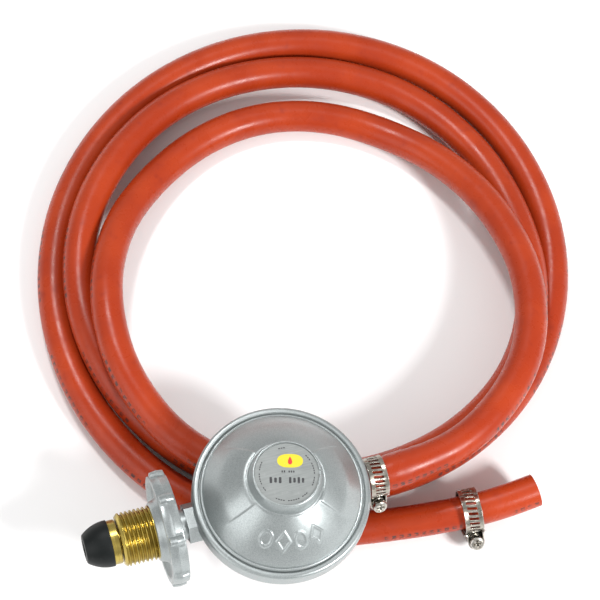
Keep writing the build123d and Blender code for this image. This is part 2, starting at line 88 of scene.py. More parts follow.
def view_axes():
    """Right, up and backward directions of the camera."""
    tilt, heading, roll = radians(VIEW_TILT), radians(VIEW_HEADING), radians(VIEW_ROLL)
    level = Vector((cos(heading), -sin(heading), 0))
    ahead = Vector((sin(heading), cos(heading), 0))
    down = -cos(tilt) * Vector((0, 0, 1)) + sin(tilt) * ahead
    lifted = cos(tilt) * ahead + sin(tilt) * Vector((0, 0, 1))
    up = cos(roll) * lifted - sin(roll) * level
    right = cos(roll) * level + sin(roll) * lifted
    return right, up, -down


def make_camera():
    right, up, back = view_axes()
    data = bpy.data.cameras.new("camera")
    data.lens = LENS
    data.sensor_width = 36.0
    data.clip_start = 0.05
    camera = bpy.data.objects.new("camera", data)
    bpy.context.scene.collection.objects.link(camera)
    camera.matrix_world = turned(right, up, back, VIEW_TARGET + back * VIEW_DISTANCE)
    bpy.context.scene.camera = camera


def turned(x_axis, y_axis, z_axis, origin):
    """Matrix whose columns are the given axes and place."""
    matrix = Matrix.Identity(4)
    for column, axis in enumerate((x_axis, y_axis, z_axis, origin)):
        for row in range(3):
            matrix[row][column] = axis[row]
    return matrix


def soft_box(name, place, size, power):
    """Square area light that looks at the middle of the object."""
    data = bpy.data.lights.new(name, "AREA")
    data.size = size
    data.energy = power
    light = bpy.data.objects.new(name, data)
    bpy.context.scene.collection.objects.link(light)
    light.location = VIEW_TARGET + place
    light.rotation_euler = (-place).to_track_quat("-Z", "Y").to_euler()


def make_studio():
    right, up, back = view_axes()
    for name, along_right, along_up, along_back, size, power in LIGHTS:
        soft_box(name, along_right * right + along_up * up + along_back * back, size, power)
    world = bpy.data.worlds.new("studio")
    world.use_nodes = True
    world.node_tree.nodes["Background"].inputs["Color"].default_value = (1, 1, 1, 1)
    world.node_tree.nodes["Background"].inputs["Strength"].default_value = WORLD_STRENGTH
    bpy.context.scene.world = world
    bpy.context.scene.view_settings.view_transform = "Standard"
    bpy.ops.mesh.primitive_plane_add(size=FLOOR_SIZE, location=(*FLOOR_MIDDLE, cad_low.z - 0.0001))
    floor = bpy.context.object
    floor.name = "floor"
    paper = bpy.data.materials.new("floor_paper")
    paper.use_nodes = True
    shader = paper.node_tree.nodes["Principled BSDF"]
    shader.inputs["Base Color"].default_value = (0.9, 0.9, 0.9, 1)
    shader.inputs["Roughness"].default_value = 0.9
    floor.data.materials.append(paper)


# ------------------------------------------------------------------ materials
class Shader:
    """A material with one Principled shader, and short ways to add the nodes that feed it."""

    def __init__(self, name, roughness, metallic=0.0, **plain):
        self.material = bpy.data.materials.new(name)
        self.material.use_nodes = True
        self.tree = self.material.node_tree
        self.shader = self.tree.nodes["Principled BSDF"]
        self.shader.inputs["Roughness"].default_value = roughness
        self.shader.inputs["Metallic"].default_value = metallic
        for socket, value in plain.items():
            self.shader.inputs[socket.replace("_", " ")].default_value = value
        self.place = self.tree.nodes.new("ShaderNodeTexCoord").outputs["Object"]

    def node(self, kind, **settings):
        made = self.tree.nodes.new("ShaderNode" + kind)
        for name, value in settings.items():
            setattr(made, name, value)
        return made

    def link(self, source, target):
        self.tree.links.new(source, target)

    def feed(self, value, socket):
        """Link an output to a socket, or set the socket to a number."""
        if isinstance(value, (int, float)):
            socket.default_value = value
        else:
            self.link(value, socket)

    def math(self, operation, a, b=0.0):
        made = self.node("Math", operation=operation)
        self.feed(a, made.inputs[0])
        self.feed(b, made.inputs[1])
        return made.outputs[0]

    def noise(self, scale, detail=4.0, stretch=(1, 1, 1)):
        mapping = self.node("Mapping")
        mapping.inputs["Scale"].default_value = stretch
        self.link(self.place, mapping.inputs["Vector"])
        made = self.node("TexNoise")
        made.inputs["Scale"].default_value = scale
        made.inputs["Detail"].default_value = detail
        self.link(mapping.outputs[0], made.inputs["Vector"])
        return made.outputs["Fac"]

    def band(self, value, low, high, out_low=0.0, out_high=1.0):
        """Value remapped smoothly from one span to another."""
        made = self.node("MapRange", interpolation_type="SMOOTHSTEP")
        self.feed(value, made.inputs["Value"])
        for socket, number in zip(("From Min", "From Max", "To Min", "To Max"),
                                  (low, high, out_low, out_high)):
            made.inputs[socket].default_value = number
        return made.outputs["Result"]

    def mix(self, factor, first, second):
        """Colour between two colours, each a plain colour or an output."""
        made = self.node("Mix", data_type="RGBA")
        self.feed(factor, made.inputs["Factor"])
        for socket, colour in zip((made.inputs[6], made.inputs[7]), (first, second)):
            if isinstance(colour, tuple):
                socket.default_value = (*colour, 1)
            else:
                self.link(colour, socket)
        return made.outputs[2]

    def colour(self, value):
        self.link(value, self.shader.inputs["Base Color"])

    def rough(self, value, low, high):
        self.link(self.band(value, 0.3, 0.7, low, high), self.shader.inputs["Roughness"])

    def bump(self, height, strength, depth):
        """Bump of a depth in metres. Later bumps add to earlier ones."""
        made = self.node("Bump")
        made.inputs["Strength"].default_value = strength
        made.inputs["Distance"].default_value = depth
        self.link(height, made.inputs["Height"])
        earlier = self.shader.inputs["Normal"].links
        if earlier:
            self.link(earlier[0].from_socket, made.inputs["Normal"])
        self.link(made.outputs["Normal"], self.shader.inputs["Normal"])

    def worn_edges(self, base, bare, low=0.515, high=0.56):
        """Base colour, turning to bare metal on the sharp edges."""
        edge = self.node("NewGeometry").outputs["Pointiness"]
        return self.mix(self.band(edge, low, high, 0, 0.7), base, bare)


def silver_paint(name, worn):
    """Satin aluminium paint: fine flake, soft blotches and a cast grain below it."""
    paint = Shader(name, 0.40, metallic=0.7)
    flake = paint.noise(2600, 2)
    blotch = paint.noise(55, 5)
    base = paint.mix(paint.band(flake, 0.3, 0.7), (0.28, 0.31, 0.31), (0.41, 0.44, 0.44))
    base = paint.mix(paint.band(blotch, 0.35, 0.7, 0, 0.35), base, (0.37, 0.40, 0.40))
    paint.colour(paint.worn_edges(base, (0.66, 0.68, 0.67), 0.54, 0.62) if worn else base)
    paint.rough(blotch, 0.30, 0.40)
    paint.bump(flake, 0.35, 0.00004)
    paint.bump(paint.noise(420, 3), 0.25, 0.0001)
    return paint.material


def turned_brass():
    """Lathe-turned brass: fine rings round the inlet axis and a slight tarnish."""
    brass = Shader("turned_brass", 0.24, metallic=1.0)
    rings = brass.noise(60, 3, stretch=(60, 1, 1))
    tarnish = brass.noise(150, 6)
    base = brass.mix(brass.band(rings, 0.3, 0.7), (0.36, 0.265, 0.055), (0.50, 0.385, 0.10))
    base = brass.mix(brass.band(tarnish, 0.5, 0.75, 0, 0.45), base, (0.25, 0.155, 0.04))
    brass.colour(brass.worn_edges(base, (0.66, 0.55, 0.24), 0.56, 0.7))
    brass.rough(tarnish, 0.24, 0.38)
    brass.bump(rings, 0.3, 0.00003)
    return brass.material


def sintered_bronze():
    bronze = Shader("sintered_bronze", 0.6, metallic=0.9)
    grain = bronze.node("TexVoronoi")
    grain.inputs["Scale"].default_value = 2800
    bronze.link(bronze.place, grain.inputs["Vector"])
    bronze.colour(bronze.mix(grain.outputs["Distance"], (0.5, 0.34, 0.16), (0.16, 0.1, 0.05)))
    bronze.bump(grain.outputs["Distance"], 0.8, 0.0003)
    return bronze.material


def nitrile_rubber():
    """Moulded black rubber with a matt bloom and faint dust."""
    rubber = Shader("nitrile_rubber", 0.5, Specular_IOR_Level=0.22)
    dust = rubber.noise(900, 6)
    haze = rubber.noise(70, 4)
    base = rubber.mix(rubber.band(haze, 0.35, 0.7), (0.0035, 0.005, 0.005), (0.007, 0.009, 0.009))
    rubber.colour(rubber.mix(rubber.band(dust, 0.62, 0.75, 0, 0.2), base, (0.04, 0.04, 0.038)))
    rubber.rough(haze, 0.42, 0.62)
    rubber.bump(dust, 0.25, 0.0001)
    return rubber.material


def strip_steel(name="strip_steel"):
    """Bright rolled stainless strip with faint rolling lines and warm reflections."""
    steel = Shader(name, 0.24, metallic=1.0)
    lines = steel.noise(240, 4, stretch=(1, 8, 1))
    stain = steel.noise(260, 5)
    base = steel.mix(steel.band(lines, 0.3, 0.7), (0.27, 0.245, 0.20), (0.43, 0.405, 0.36))
    base = steel.mix(steel.band(stain, 0.55, 0.8, 0, 0.5), base, (0.17, 0.145, 0.11))
    steel.colour(steel.worn_edges(base, (0.62, 0.60, 0.56)))
    steel.rough(stain, 0.18, 0.36)
    steel.bump(lines, 0.25, 0.00004)
    return steel.material


def zinc_plate():
    zinc = Shader("zinc_plate", 0.33, metallic=1.0)
    cloud = zinc.noise(320, 5)
    base = zinc.mix(zinc.band(cloud, 0.35, 0.65), (0.45, 0.46, 0.45), (0.62, 0.62, 0.58))
    zinc.colour(zinc.worn_edges(base, (0.8, 0.8, 0.78)))
    zinc.rough(cloud, 0.25, 0.45)
    zinc.bump(cloud, 0.2, 0.00006)
    return zinc.material


def spring_wire():
    wire = Shader("spring_wire", 0.3, metallic=1.0)
    drawn = wire.noise(700, 4, stretch=(1, 1, 0.2))
    wire.colour(wire.mix(wire.band(drawn, 0.3, 0.7), (0.22, 0.22, 0.23), (0.42, 0.42, 0.43)))
    wire.rough(drawn, 0.24, 0.4)
    wire.bump(drawn, 0.2, 0.00004)
    return wire.material


def moulded_plastic():
    plastic = Shader("moulded_acetal", 0.42)
    skin = plastic.noise(1500, 3)
    shade = plastic.noise(90, 3)
    plastic.colour(plastic.mix(plastic.band(shade, 0.3, 0.7), (0.018, 0.018, 0.018), (0.03, 0.03, 0.03)))
    plastic.rough(shade, 0.36, 0.5)
    plastic.bump(skin, 0.2, 0.00005)
    return plastic.material


def red_fibre():
    fibre = Shader("red_fibre", 0.7)
    threads = fibre.noise(1200, 5, stretch=(1, 4, 1))
    fibre.colour(fibre.mix(fibre.band(threads, 0.3, 0.7), (0.24, 0.05, 0.03), (0.36, 0.11, 0.06)))
    fibre.bump(threads, 0.4, 0.0001)
    return fibre.material


def label_foil():
    """Brushed printed aluminium disc, slightly scuffed."""
    foil = Shader("label_foil", 0.38, metallic=0.45)
    brushed = foil.noise(90, 4, stretch=(1, 22, 1))
    scuff = foil.noise(380, 6)
    base = foil.mix(foil.band(brushed, 0.3, 0.7), (0.215, 0.23, 0.226), (0.25, 0.265, 0.26))
    foil.colour(foil.mix(foil.band(scuff, 0.6, 0.78, 0, 0.5), base, (0.30, 0.31, 0.305)))
    foil.rough(scuff, 0.32, 0.46)
    foil.bump(brushed, 0.12, 0.00004)
    return foil.material


def printed_ink(name, colour, worn):
    ink = Shader(name, 0.4)
    wear = ink.noise(1300, 5)
    ink.colour(ink.mix(ink.band(wear, 0.58, 0.75, 0, 0.55), colour, worn))
    ink.rough(wear, 0.34, 0.5)
    ink.bump(wear, 0.1, 0.00003)
    return ink.material


def gas_hose():
    """Orange gas hose: a satin skin with extrusion lines, scuffs and a worn run of print.

    The corner attribute hose_map holds the distance along the hose in millimetres and the
    angle round it in degrees from the top, towards the outside of the turns."""
    hose = Shader("gas_hose", 0.30, Specular_IOR_Level=0.26)
    spot = hose.node("SeparateXYZ")
    hose.link(hose.node("Attribute", attribute_name="hose_map").outputs["Vector"], spot.inputs[0])
    along, turn, inside = spot.outputs
    cloud = hose.noise(38, 4)
    grime = hose.noise(160, 6)
    base = hose.mix(hose.band(cloud, 0.35, 0.68), (0.33, 0.031, 0.0065), (0.39, 0.042, 0.009))
    base = hose.mix(hose.band(grime, 0.58, 0.8, 0, 0.45), base, (0.20, 0.013, 0.006))
    # print: dashes in groups, in a band on the outer flank
    dash = hose.band(hose.math("FRACT", hose.math("MULTIPLY", along, 1 / 3.3)), 0.52, 0.60, 1, 0)
    group = hose.band(hose.math("FRACT", hose.math("MULTIPLY", along, 1 / 58.0)), 0.60, 0.62, 1, 0)
    off_line = hose.math("ABSOLUTE", hose.math("SUBTRACT", turn, 68.0))
    row = hose.band(off_line, 7.0, 8.5, 1, 0)
    bar = hose.band(off_line, 3.2, 4.2, 0, 1)
    open_middle = hose.math("MAXIMUM", bar, hose.band(hose.noise(900, 2), 0.45, 0.55))
    faded = hose.band(hose.noise(300, 4), 0.30, 0.5, 0.1, 0.95)
    mark = faded
    for part in (dash, group, row, open_middle):
        mark = hose.math("MULTIPLY", mark, part)
    base = hose.mix(mark, base, (0.045, 0.022, 0.02))
    # the bore is painted a darker red, and each cut end grades into it: painted shade in the hole
    hose.colour(hose.mix(inside, base, (0.10, 0.014, 0.008)))
    hose.rough(grime, 0.24, 0.36)
    lines = hose.node("TexNoise", noise_dimensions="1D")
    lines.inputs["Scale"].default_value = 1.6
    lines.inputs["Detail"].default_value = 3
    hose.link(turn, lines.inputs["W"])
    hose.bump(lines.outputs["Fac"], 0.15, 0.00008)
    hose.bump(hose.noise(700, 4), 0.15, 0.00006)
    return hose.material


# ------------------------------------------------------------------ mesh helpers
def build_mesh(name, verts, faces, materials, sharp=38.0):
    """Object from points in millimetres, with its seams welded and its normals outward."""
    data = bpy.data.meshes.new(name)
    data.from_pydata([Vector(v) * MM for v in verts], [], faces)
    work = bmesh.new()
    work.from_mesh(data)
    bmesh.ops.remove_doubles(work, verts=work.verts, dist=2e-7)
    bmesh.ops.recalc_face_normals(work, faces=work.faces)
    work.to_mesh(data)
    work.free()
    data.polygons.foreach_set("use_smooth", [True] * len(data.polygons))
    data.set_sharp_from_angle(angle=radians(sharp))
    obj = bpy.data.objects.new(name, data)
    bpy.context.scene.collection.objects.link(obj)
    for material in materials:
        data.materials.append(material)
    return obj


def grid_faces(rows, columns, close_rows, close_columns):
    """Quads of a grid of rows by columns, joined end to end where asked."""
    faces = []
    for i in range(rows if close_rows else rows - 1):
        for k in range(columns if close_columns else columns - 1):
            i2 = (i + 1) % rows
            k2 = (k + 1) % columns
            faces.append((i * columns + k, i * columns + k2, i2 * columns + k2, i2 * columns + k))
    return faces


def lathe(name, outline, segments, place, material, sharp=38.0):
    """Surface of revolution of a closed outline of (along, radius) pairs."""
    verts = [place(along, radius, tau * k / segments) for along, radius in outline for k in range(segments)]
    return build_mesh(name, verts, grid_faces(len(outline), segments, True, True), [material], sharp)


def on_inlet(along, radius, angle):
    """Point on the inlet axis's side: the angle runs from +Z towards +Y."""
    return along, radius * sin(angle), radius * cos(angle)


def arc(start, middle, end, steps):
    """Points of the circular arc through three (u, v) points."""
    (ax, ay), (bx, by), (cx, cy) = start, middle, end
    d = 2 * (ax * (by - cy) + bx * (cy - ay) + cx * (ay - by))
    a2, b2, c2 = ax * ax + ay * ay, bx * bx + by * by, cx * cx + cy * cy
    ux = (a2 * (by - cy) + b2 * (cy - ay) + c2 * (ay - by)) / d
    uy = (a2 * (cx - bx) + b2 * (ax - cx) + c2 * (bx - ax)) / d
    radius = hypot(ax - ux, ay - uy)
    first = atan2(ay - uy, ax - ux)
    sweep = (atan2(cy - uy, cx - ux) - first + pi) % tau - pi
    return [(ux + radius * cos(first + sweep * i / steps), uy + radius * sin(first + sweep * i / steps))
            for i in range(steps + 1)]


def ease(value, low, high):
    """Smooth step from 0 at low to 1 at high."""
    t = min(max((value - low) / (high - low), 0.0), 1.0)
    return t * t * (3 - 2 * t)


def finish_piece(obj, body, slot, *replaced):
    """Tie a piece to its body and hide the nodes that it stands for. The slot argument is not used."""
    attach(obj, body)
    if replaced:
        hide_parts(*replaced)


# ------------------------------------------------------------------ hose
HOSE_R = 7.25
BORE_R = 4.0
MOUTH_BEVEL = 0.2
HOSE_START = 37.8                    # nozzle end of the hose, from the casing's centre
HOSE_START_X = DISC_X + HOSE_START
COIL_X = DISC_X + 47.0
COIL_Y = 113.7
LOW = HOSE_R
# Each row is one turn: distance from the coil's centre, then height over the floor, every 45 degrees.
TURN_RADII = [
    [114.0, 109.0, 88.2, 78.2, 76.6, 78.8, 92.6, 107.8],
    [106.0, 107.0, 100.6, 101.0, 98.2, 98.3, 103.2, 105.3],
    [107.0, 112.3, 116.2, 117.3, 113.2, 110.8, 114.4, 122.0],
    [126.5, 131.0],
]
TURN_HEIGHTS = [
    [40.2, 37.2, 23.8, LOW, LOW, 11.0, 28.6, 24.6],
    [21.8, 21.8, 12.6, 7.6, 9.7, 15.5, 17.8, 8.0],
    [LOW, LOW, LOW, LOW, LOW, LOW, LOW, LOW],
    [LOW, LOW],
]
STEPS_PER_TURN = 16
OUTWARD = 1 / cos(radians(180 / STEPS_PER_TURN))
# free end: place along X from the casing's centre, Y, height of the middle
TAIL = [
    (30.0, -10.8, LOW),
    (50.0, -13.8, 8.4),
    (67.0, -16.3, 10.8),
    (83.0, -17.9, 13.4),
    (99.0, -18.4, 15.5),
    (114.2, -17.0, 17.0),
]
HOSE_SIDES = 44
BARB_SPOTS = (50.0, 55.5, 63.0)      # crests under the hose, from the casing's centre
BARB_RISE = 0.34
PINCH_SPOT = 59.2
PINCH_DEPTH = 0.16
NOZZLE_SWELL = 0.55                  # how far the nozzle widens the hose
BAND_BITE = 0.35                     # how far the clamp presses it in
CUT_EDGE = 0.35                      # small rounding of the cut ends


def eased(rows):
    """Stations with a value between each two, on a smooth curve through them."""
    flat = [value for row in rows for value in row]
    values = []
    for i in range(1, len(flat) - 2):
        between = (9 * (flat[i] + flat[i + 1]) - flat[i - 1] - flat[i + 2]) / 16
        values += [flat[i], between]
    first_between = (3 * flat[0] + 6 * flat[1] - flat[2]) / 8
    return [flat[0], first_between] + values


def hose_route():
    """Control points of the hose, from the nozzle round the turns to the cut end."""
    coil = []
    for k, (radius, height) in enumerate(zip(eased(TURN_RADII), eased(TURN_HEIGHTS))):
        angle = radians(-90 + k * 360 / STEPS_PER_TURN)
        x = COIL_X + radius * OUTWARD * cos(angle)
        y = COIL_Y + radius * OUTWARD * sin(angle)
        coil.append(point(x, y, FLOOR_Z + max(height, LOW)))
    tail = [point(DISC_X + x, y, FLOOR_Z + height) for x, y, height in TAIL]
    return [point(HOSE_START_X, 0, 0), point(DISC_X + 58.0, 0, 0)] + coil[1:] + tail


def spline_points(name, corners):
    """Points of the smooth line that a NURBS spline draws from its control points."""
    data = bpy.data.curves.new(name, "CURVE")
    data.dimensions = "3D"
    data.resolution_u = 14
    spline = data.splines.new("NURBS")
    spline.points.add(len(corners) - 1)
    for knot, corner in zip(spline.points, corners):
        knot.co = (*corner, 1)
    spline.order_u = 3
    spline.use_endpoint_u = True
    curve = bpy.data.objects.new(name, data)
    line = bpy.data.meshes.new_from_object(curve)
    found = [v.co.copy() for v in line.vertices]
    bpy.data.objects.remove(curve)
    return found


def hose_radius(travelled):
    """Outer radius where the hose is that far from its nozzle end, in millimetres."""
    from_centre = travelled + HOSE_START
    over_nozzle = NOZZLE_SWELL * (1 - ease(from_centre, 56.0, 66.0))
    under_band = -BAND_BITE * ease(from_centre, 37.0, 38.6) * (1 - ease(from_centre, 45.6, 47.2))
    bumps = sum(BARB_RISE * max(0.0, 1 - ((from_centre - spot) / 2.1) ** 2) ** 2 for spot in BARB_SPOTS)
    pinch = -PINCH_DEPTH * max(0.0, 1 - ((from_centre - PINCH_SPOT) / 2.6) ** 2) ** 2
    return HOSE_R + over_nozzle + under_band + bumps + pinch


def make_hose(material):
    """Tube with its bore, swept along the spline, with the print's map on its corners."""
    line = spline_points("hose_line", hose_route())
    travelled = [0.0]
    for before, after in zip(line, line[1:]):
        travelled.append(travelled[-1] + (after - before).length / MM)
    length = travelled[-1]
    stations = []
    for i, spot in enumerate(line):
        ahead = (line[min(i + 1, len(line) - 1)] - line[max(i - 1, 0)]).normalized()
        side = ahead.cross(Vector((0, 0, 1))).normalized()
        stations.append((spot / MM, side, side.cross(ahead)))
    verts = []
    where = []

    def ring(i, radius, inside):
        spot, side, up = stations[i]
        for k in range(HOSE_SIDES):
            angle = tau * k / HOSE_SIDES
            verts.append(spot + radius * (sin(angle) * side + cos(angle) * up))
            where.append((travelled[i], inside))

    last = len(line) - 1
    ring(0, hose_radius(0) - CUT_EDGE, 0)
    for i in range(last + 1):
        ring(i, hose_radius(travelled[i]), 0)
    ring(last, hose_radius(length) - CUT_EDGE, 0)
    ring(last, BORE_R + MOUTH_BEVEL, 1)
    for i in range(last, -1, -1):
        ring(i, BORE_R, 1)
    rows = len(verts) // HOSE_SIDES
    data_faces = grid_faces(rows, HOSE_SIDES, True, True)
    data = bpy.data.meshes.new("hose")
    data.from_pydata([v * MM for v in verts], [], data_faces)
    mapping = data.attributes.new("hose_map", "FLOAT_VECTOR", "CORNER")
    values = []
    for face_index, face in enumerate(data_faces):
        wraps = face_index % HOSE_SIDES == HOSE_SIDES - 1
        for corner in face:
            side_index = corner % HOSE_SIDES
            if wraps and side_index == 0:
                side_index = HOSE_SIDES
            distance, inside = where[corner]
            values += [distance, 360 * side_index / HOSE_SIDES, inside]
    mapping.data.foreach_set("vector", values)
    data.polygons.foreach_set("use_smooth", [True] * len(data.polygons))
    data.set_sharp_from_angle(angle=radians(50))
    data.materials.append(material)
    hose = bpy.data.objects.new("gas_hose", data)
    bpy.context.scene.collection.objects.link(hose)
    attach(hose, "regulator")
    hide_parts("hose_end", "hose_turn_1", "hose_turn_2", "hose_turn_3", "hose_tail")
    return hose, line


# ------------------------------------------------------------------ regulator cover and label
COVER_SEGMENTS = 540
BOSS_R = 14.3
BOSS_BASE_R = 15.2
BOSS_BASE_Z = 29.6
BOSS_TOP_Z = 36.5
LABEL_R = 13.6
LABEL_TOP_Z = 35.7
LABEL_LOW_Z = 34.9
BREATHER_ANGLE = -11.584             # middle of the slot in the boss's lip, in degrees
# creases: angle and radius where each starts at the boss, and where it fades out
CREASES = [
    (29.5, 18.8, 23.0, 29.0),
    (121.0, 16.6, 131.6, 29.7),
    (206.0, 14.6, 199.6, 28.2),
    (312.0, 15.6, 318.2, 29.9),
]
CREASE_STEP = 0.62
CREASE_SOFT = 25.0                   # half of a crease's width, in degrees times millimetres of radius
MARK_ANGLES = (-123.4, -106.4, -90.0, -73.8)
MARK_R = 24.8
MARK_HEIGHT = 0.5


def crease_angle(crease, radius):
    start, start_r, end, end_r = crease
    t = min(max((radius - start_r) / (end_r - start_r), 0.0), 1.0)
    return start + (end - start) * t


def sector_lift(radius, angle):
    """Height of the side sectors over the two that carry the marks. It fades at the rim."""
    right_low = crease_angle(CREASES[3], radius) - 360
    right_high = crease_angle(CREASES[0], radius)
    left_low = crease_angle(CREASES[1], radius)
    left_high = crease_angle(CREASES[2], radius)
    lift = 0.0
    soft = CREASE_SOFT / radius
    for low, high in ((right_low, right_high), (left_low, left_high), (right_low + 360, right_high + 360)):
        lift += ease(angle, low - soft, low + soft) * (1 - ease(angle, high - soft, high + soft))
    return CREASE_STEP * lift * ease(radius, 15.6, 18.0) * (1 - ease(radius, 25.5, 30.5))


def mark_lift(x, y):
    """Height of the row of plain embossed rings and lozenges under the boss."""
    height = 0.0
    for i, turn in enumerate(MARK_ANGLES):
        cx, cy = MARK_R * cos(radians(turn)), MARK_R * sin(radians(turn))
        away = (x - cx) * cos(radians(turn)) + (y - cy) * sin(radians(turn))
        along = -(x - cx) * sin(radians(turn)) + (y - cy) * cos(radians(turn))
        if i % 2:
            size = (abs(away) / 3.8 + abs(along) / 3.2) * 2.6
        else:
            size = hypot(away / 3.1, along / 2.8) * 2.6
        height = max(height, 1 - ease(abs(size - 2.2), 0.22, 0.62))
    return MARK_HEIGHT * height


def make_cover(material):
    """Domed cover with its creases, embossed marks, spring boss and breather slot."""
    seat = [(30.8, 8.05), (35.9, 8.05), (35.9, 11.1), (34.4, 11.1), (34.35, 12.0), (34.2, 12.45),
            (33.9, 12.75), (33.6, 12.85), (33.35, 12.75), (33.2, 12.75), (33.05, 13.05)]
    dome = arc((32.9, 13.75), (25.3, 22.2), (16.4, 28.9), 96)
    root = arc((16.2, 28.95), (15.62, 29.15), (BOSS_BASE_R + 0.05, BOSS_BASE_Z + 0.4), 6)
    rolled = arc((BOSS_R, BOSS_TOP_Z - 0.55), (BOSS_R - 0.35, BOSS_TOP_Z - 0.06),
                 (BOSS_R - 0.85, BOSS_TOP_Z), 6)
    lip = [(13.45, BOSS_TOP_Z - 0.1), (13.3, BOSS_TOP_Z - 0.4), (13.3, 35.72), (13.65, 35.72),
           (13.65, LABEL_LOW_Z), (11.0, LABEL_LOW_Z), (11.0, 25.8), (14.2, 25.8)]
    inside = arc((14.2, 25.8), (23.2, 19.9), (30.0, 12.2), 16)[1:]
    outline = seat + dome + root + rolled + lip + inside + [(30.8, 10.6)]
    dome_rows = range(len(seat), len(seat) + len(dome))
    boss_row = len(seat) + len(dome) + len(root)
    lip_rows = range(boss_row + 2, boss_row + len(rolled) + 3)
    verts = []
    for row, (radius, height) in enumerate(outline):
        for k in range(COVER_SEGMENTS):
            angle = tau * k / COVER_SEGMENTS
            x, y, z = radius * cos(angle), radius * sin(angle), height
            if row in dome_rows:
                z += sector_lift(radius, 360 * k / COVER_SEGMENTS) + mark_lift(x, y)
            if row in lip_rows:
                off = abs((angle - radians(BREATHER_ANGLE) + pi) % tau - pi) * radius
                z -= (1 - ease(off, 0.75, 0.95)) * min(0.8, max(0.0, z - 35.9))
            verts.append((DISC_X + x, y, z))
    faces = grid_faces(len(outline), COVER_SEGMENTS, True, True)
    cover = build_mesh("domed_cover", verts, faces, [material], 46)
    finish_piece(cover, "regulator", "silver_casting", "top_cover")


LABEL_TURN = -14.9
INK_THICK = 0.05


def label_place(x, y):
    """Point of the label's own drawing, in millimetres, in the CAD frame."""
    turn = radians(LABEL_TURN)
    return DISC_X + x * cos(turn) - y * sin(turn), x * sin(turn) + y * cos(turn)


def on_disc(height, radius, angle):
    """Point round the casing's upright axis."""
    return DISC_X + radius * cos(angle), radius * sin(angle), height


def inlay(name, shapes, material, thick=INK_THICK):
    """Thin raised print: each shape is an outline on the label."""
    verts = []
    faces = []
    for shape in shapes:
        first = len(verts)
        n = len(shape)
        for height in (LABEL_TOP_Z - 0.03, LABEL_TOP_Z + thick):
            verts += [(*label_place(x, y), height) for x, y in shape]
        faces.append(tuple(first + i for i in reversed(range(n))))
        faces.append(tuple(first + n + i for i in range(n)))
        faces += [(first + i, first + (i + 1) % n, first + n + (i + 1) % n, first + n + i) for i in range(n)]
    ink = build_mesh(name, verts, faces, [material], 30)
    finish_piece(ink, "regulator", "label")


def rounded_bar(x, y, width, height, turn=0.0):
    """Outline of a bar with round corners."""
    corner = 0.3 * min(width, height)
    points = []
    for quarter, (sx, sy) in enumerate(((1, 1), (-1, 1), (-1, -1), (1, -1))):
        for step in range(5):
            angle = radians(90 * quarter + 22.5 * step)
            px = sx * (width / 2 - corner) + corner * cos(angle)
            py = sy * (height / 2 - corner) + corner * sin(angle)
            points.append((x + px * cos(turn) - py * sin(turn), y + px * sin(turn) + py * cos(turn)))
    return points


def make_label(foil, black, yellow, red):
    outline = [(LABEL_TOP_Z - 0.12, LABEL_R), (LABEL_TOP_Z, LABEL_R - 0.12), (LABEL_TOP_Z, LABEL_R - 0.7)]
    outline += [(LABEL_TOP_Z, radius) for radius in (11.0, 7.0, 3.0, 0.0)]
    outline += [(LABEL_LOW_Z, 0.0), (LABEL_LOW_Z, LABEL_R)]
    disc = lathe("label_disc", outline, 160, on_disc, foil)
    finish_piece(disc, "regulator", "label", "label_plate")
    # a plain lozenge with a drop in it, then rows and rings of bars for the small print
    lozenge = [(1.4 + 5.3 * cos(a) * abs(cos(a)) ** -0.25, 5.7 + 2.9 * sin(a) * abs(sin(a)) ** -0.1)
               for a in (tau * (i + 0.5) / 48 for i in range(48))]
    inlay("label_lozenge", [lozenge], yellow)
    drop = [(1.4 + 1.15 * sin(a) * sin(a / 2), 5.8 + 1.7 * cos(a)) for a in (tau * i / 28 for i in range(28))]
    inlay("label_drop", [drop], red, 2 * INK_THICK)
    bars = [rounded_bar(-6.6 + 1.9 * i, -2.6, 1.05, 2.6 - 0.5 * (i % 2)) for i in range(3)]
    bars += [rounded_bar(1.3 + 1.75 * i, -2.6, 0.95, 2.6 - 0.6 * (i % 2)) for i in range(4)]
    bars += [rounded_bar(-1.9 + 0.95 * i, 1.1, 0.55, 0.85) for i in range(6) if i != 2]
    for low, high in ((80, 100), (140, 212), (-38, 38), (232, 308)):
        count = int((high - low) / 5.2)
        for i in range(count):
            if i % 6 == 4:
                continue
            a = radians(low + 5.2 * i - LABEL_TURN)
            bars.append(rounded_bar(11.3 * cos(a), 11.3 * sin(a), 0.42, 0.72, a))
    inlay("label_bars", bars, black)


# ------------------------------------------------------------------ handwheel and inlet thread
WHEEL_FRONT_X = 17.2
WHEEL_REAR_X = 24.4
WHEEL_MIDDLE_X = (WHEEL_FRONT_X + WHEEL_REAR_X) / 2
WHEEL_R = 25.0
WHEEL_LOBES = 8
LOBE_TURN = 15.0
LOBE_HEIGHT = 1.6
LOBE_HALF = 2.0
RIM_R = WHEEL_R - LOBE_HEIGHT + 0.15
THREAD_R = 11.45
THREAD_LENGTH = 14.7
THREAD_PITCH = 1.814
THREAD_DEPTH = 1.12
SLEEVE_TAIL_R = 10.4
SLEEVE_END_X = 22.4
SLEEVE_BORE_R = 5.55


def lobe_rise(angle):
    """Height of the rounded ribs across the wheel's rim."""
    spacing = tau / WHEEL_LOBES
    off = (angle - radians(LOBE_TURN) + spacing / 2) % spacing - spacing / 2
    across = abs(off) * (WHEEL_R - LOBE_HEIGHT) / LOBE_HALF
    return LOBE_HEIGHT * sqrt(max(0.0, 1 - across ** 2)) + 0.25 * (1 - ease(across, 0.9, 1.6))


